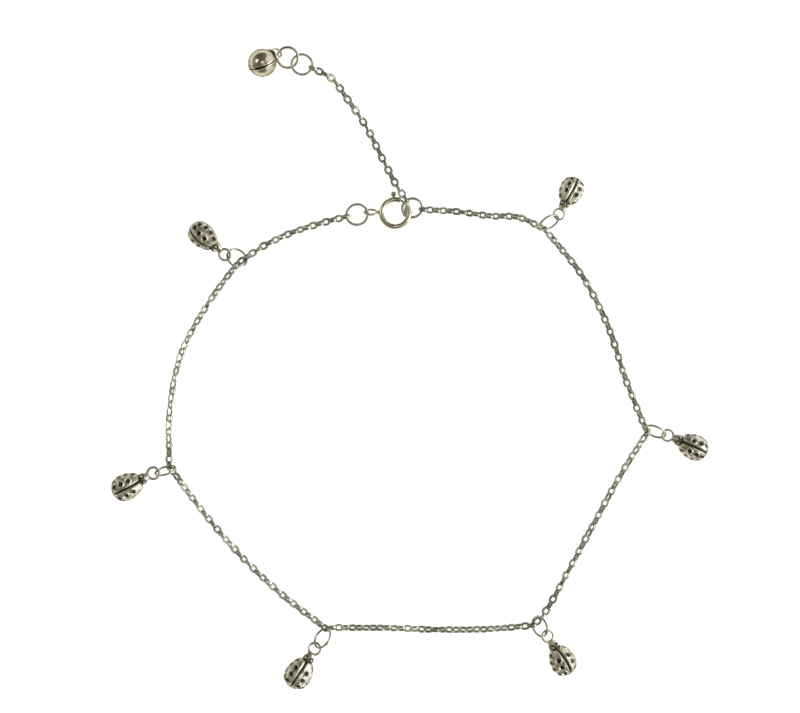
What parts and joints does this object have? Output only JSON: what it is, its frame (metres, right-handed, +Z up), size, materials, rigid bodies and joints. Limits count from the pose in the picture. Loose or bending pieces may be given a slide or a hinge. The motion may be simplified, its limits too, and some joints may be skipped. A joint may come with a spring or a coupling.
{
  "type": "charm anklet",
  "caption": "Payal anklet: a fine silver cable chain lying as a loop, with ladybird charms on jump rings, a bolt ring clasp and a short extension chain that ends in a slit bell.",
  "frame": {"origin": "middle of the bounding box, on the table that the anklet lies on", "axes": "+Y from the middle of the loop towards the bell's end, +Z up from the table"},
  "size_m": [0.0995, 0.1072, 0.0049],
  "materials": {
    "silver": "drawn and polished sterling silver",
    "cast_silver": "cast sterling silver, polished on the high spots and darkened in the recesses"
  },
  "bodies": {
    "anklet": {"main_chain": "silver", "extension_chain": "silver", "charm_ring_1": "silver", "charm_ring_2": "silver", "charm_ring_3": "silver", "charm_ring_4": "silver", "charm_ring_5": "silver", "charm_ring_6": "silver", "bolt_ring": "silver", "clasp_ring": "silver", "end_ring": "silver", "bell_ring_1": "silver", "bell_ring_2": "silver", "bell": "silver", "ladybird_1": "cast_silver", "ladybird_2": "cast_silver", "ladybird_3": "cast_silver", "ladybird_4": "cast_silver", "ladybird_5": "cast_silver", "ladybird_6": "cast_silver"},
    "bolt": {"bolt": "silver"}
  },
  "joints": [
    {"name": "bolt_slide", "type": "hinge", "parent": "anklet", "child": "bolt", "pos_m": [-0.00228, 0.02575, 0.00097], "axis": [-0.04, 0.1333, 0.9903], "range_deg": [0, 38], "stiffness_Nm_per_rad": 0.0002, "springref_deg": -11.46}
  ]
}
